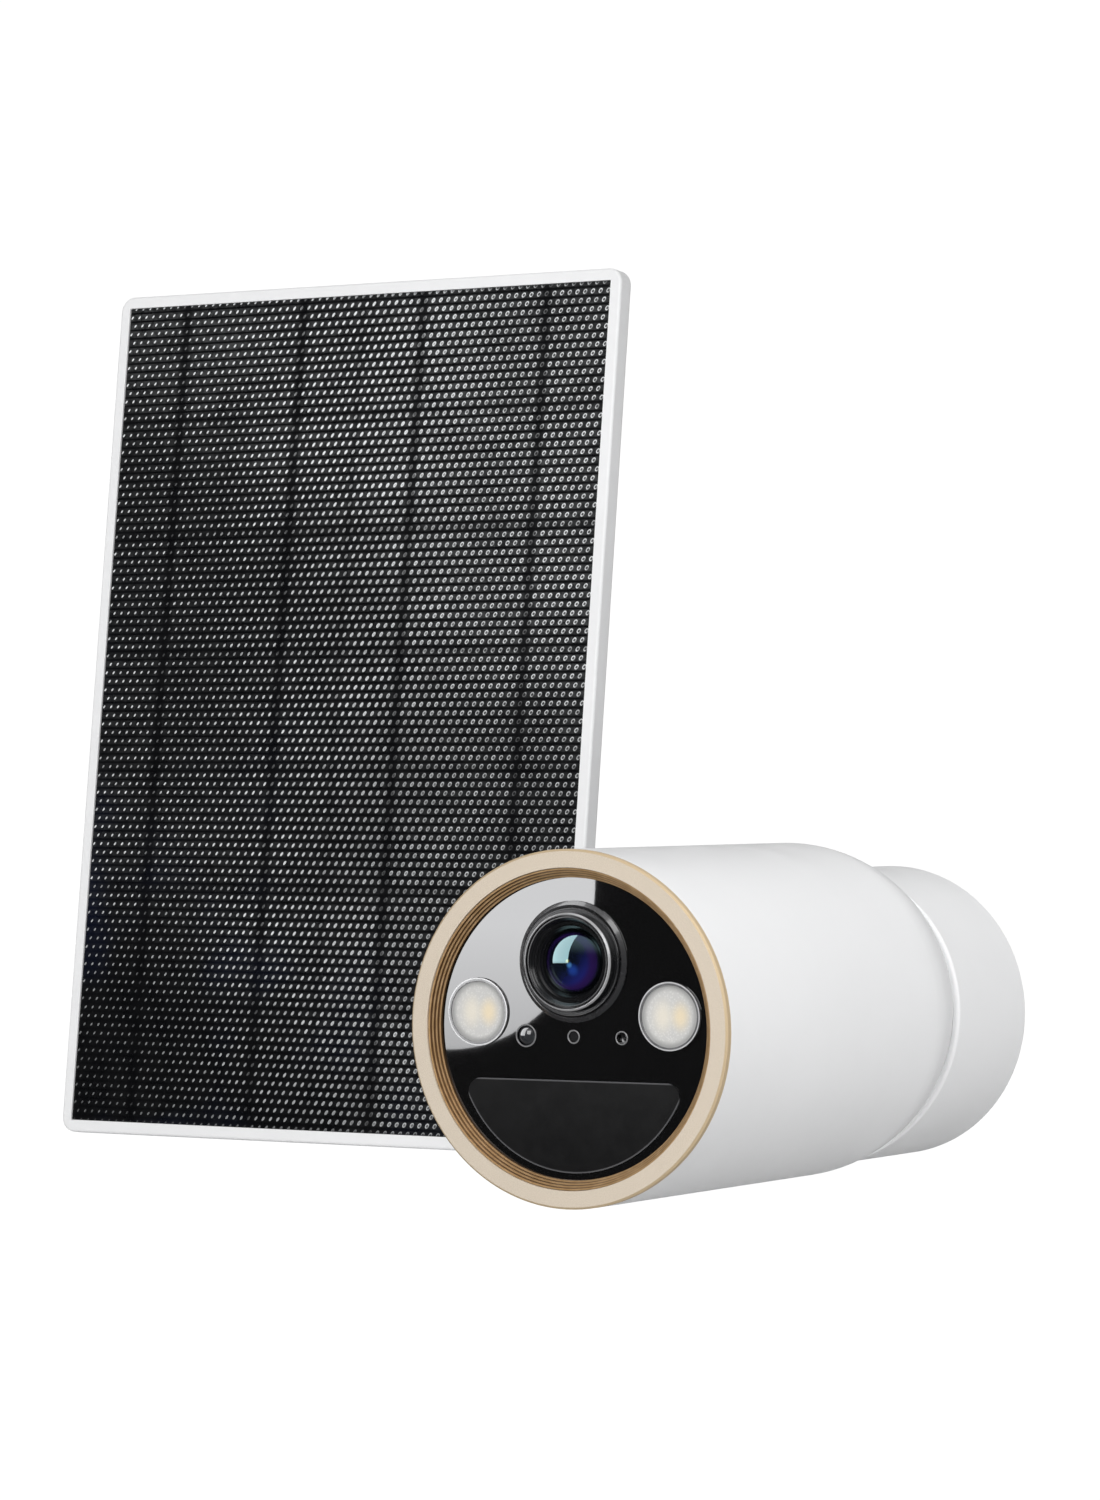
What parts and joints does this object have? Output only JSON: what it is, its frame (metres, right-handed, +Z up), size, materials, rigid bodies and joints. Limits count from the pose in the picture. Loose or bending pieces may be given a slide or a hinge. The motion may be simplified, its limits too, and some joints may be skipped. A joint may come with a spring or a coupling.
{
  "type": "solar-powered security camera",
  "caption": "Bullet security camera on a magnetic ball-and-cup wall base, with a solar panel on a swivelling and tilting wall bracket.",
  "frame": {"origin": "centre of the camera base's wall face", "axes": "+Z up, +Y into the wall, so the camera looks along -Y, and +X to the right as seen from in front"},
  "size_m": [0.2035, 0.14, 0.1824],
  "materials": {
    "white_shell": "fine satin",
    "gold_ring": "satin anodised",
    "bronze_steps": "satin",
    "black_window": "polished",
    "black_plastic": "satin",
    "lens_black": "satin",
    "lens_glass": "coated",
    "milky_diffuser": "frosted",
    "clear_rim": "polished",
    "board_green": "solder mask",
    "led_yellow": "phosphor",
    "sensor_can": "satin",
    "silicon": "polished",
    "battery_wrap": "shrink wrap",
    "steel": "plain",
    "magnet": "nickel plated",
    "grey_rubber": "matte",
    "black_rubber": "matte",
    "copper_film": "foil",
    "prismatic_film": "embossed",
    "solar_silicon": "polished",
    "ribbon": "tinned"
  },
  "bodies": {
    "wall_mounts": {"base_shell": "white_shell", "base_plate": "white_shell", "base_lock_screw": "steel", "base_magnet": "magnet", "magnet_yoke": "steel", "bracket_base": "white_shell", "swivel_pin": "steel"},
    "seat": {"seat_ring": "black_rubber"},
    "ball_disc": {"steel_disc": "steel"},
    "camera": {"barrel_housing": "white_shell", "front_ring": "gold_ring", "stepped_ring": "bronze_steps", "front_window": "black_window", "pir_window": "black_plastic", "lens_hood": "lens_black", "lens_bezel": "lens_black", "lens_barrel": "lens_black", "lens_front_element": "lens_glass", "lens_rear_element": "lens_glass", "image_sensor": "silicon", "sensor_board": "board_green", "spotlight_bezels": "clear_rim", "spotlight_diffusers": "milky_diffuser", "spotlight_boards": "board_green", "spotlight_leds": "led_yellow", "front_board": "board_green", "pir_sensors": "sensor_can", "light_sensor": "clear_rim", "status_light_guide": "clear_rim", "microphone": "sensor_can", "front_chassis": "black_plastic", "front_seal": "black_rubber", "chassis_screws": "steel", "battery_cells": "battery_wrap", "battery_cradle": "black_plastic", "main_board": "board_green", "processor_shield": "sensor_can", "speaker": "black_plastic", "speaker_mesh": "steel", "antenna": "copper_film", "port_tray": "white_shell", "usb_port": "steel", "card_slot": "steel", "port_board": "board_green"},
    "port_flap": {"port_cover": "grey_rubber"},
    "power_key": {"power_button": "white_shell"},
    "reset_key": {"reset_button": "black_plastic"},
    "swivel": {"bracket_knuckle": "white_shell"},
    "panel": {"panel_frame": "white_shell", "cover_sheet": "prismatic_film", "solar_cells": "solar_silicon", "cell_ribbons": "ribbon", "panel_board": "black_plastic", "panel_back": "white_shell", "junction_box": "white_shell", "cable_outlet": "grey_rubber", "panel_cradle": "white_shell", "cradle_screws": "steel", "tilt_bolt": "steel"},
    "knob": {"tilt_knob": "white_shell"}
  },
  "joints": [
    {"name": "seat_turn", "type": "hinge", "parent": "wall_mounts", "child": "seat", "pos_m": [0, -0.05, 0.002], "axis": [0, 1, 0], "continuous": true},
    {"name": "camera_tilt", "type": "hinge", "parent": "seat", "child": "ball_disc", "pos_m": [0, -0.05, 0.002], "axis": [1, 0, 0], "range_deg": [-24, 24]},
    {"name": "camera_roll", "type": "hinge", "parent": "ball_disc", "child": "camera", "pos_m": [0, -0.05, 0.002], "axis": [0, 1, 0], "continuous": true},
    {"name": "port_cover_hinge", "type": "hinge", "parent": "camera", "child": "port_flap", "pos_m": [-0.00885, -0.083, -0.02979], "axis": [0, 1, 0], "range_deg": [0, 110]},
    {"name": "power_press", "type": "slide", "parent": "camera", "child": "power_key", "axis": [0, 0, 1], "range_m": [0, 0.0008], "stiffness_N_per_m": 500, "springref_m": -0.0012},
    {"name": "reset_press", "type": "slide", "parent": "camera", "child": "reset_key", "axis": [0, 0, 1], "range_m": [0, 0.0006], "stiffness_N_per_m": 500, "springref_m": -0.0012},
    {"name": "panel_swivel", "type": "hinge", "parent": "wall_mounts", "child": "swivel", "pos_m": [-0.1034, -0.017, 0.06], "axis": [0, 0, -1], "range_deg": [-25, 25]},
    {"name": "panel_tilt", "type": "hinge", "parent": "swivel", "child": "panel", "pos_m": [-0.10447, -0.03096, 0.06], "axis": [-0.9971, 0.0767, 0], "range_deg": [-25, 20]},
    {"name": "tilt_knob_turn", "type": "hinge", "parent": "panel", "child": "knob", "pos_m": [-0.10447, -0.03096, 0.06], "axis": [0.9971, -0.0767, 0], "continuous": true}
  ]
}
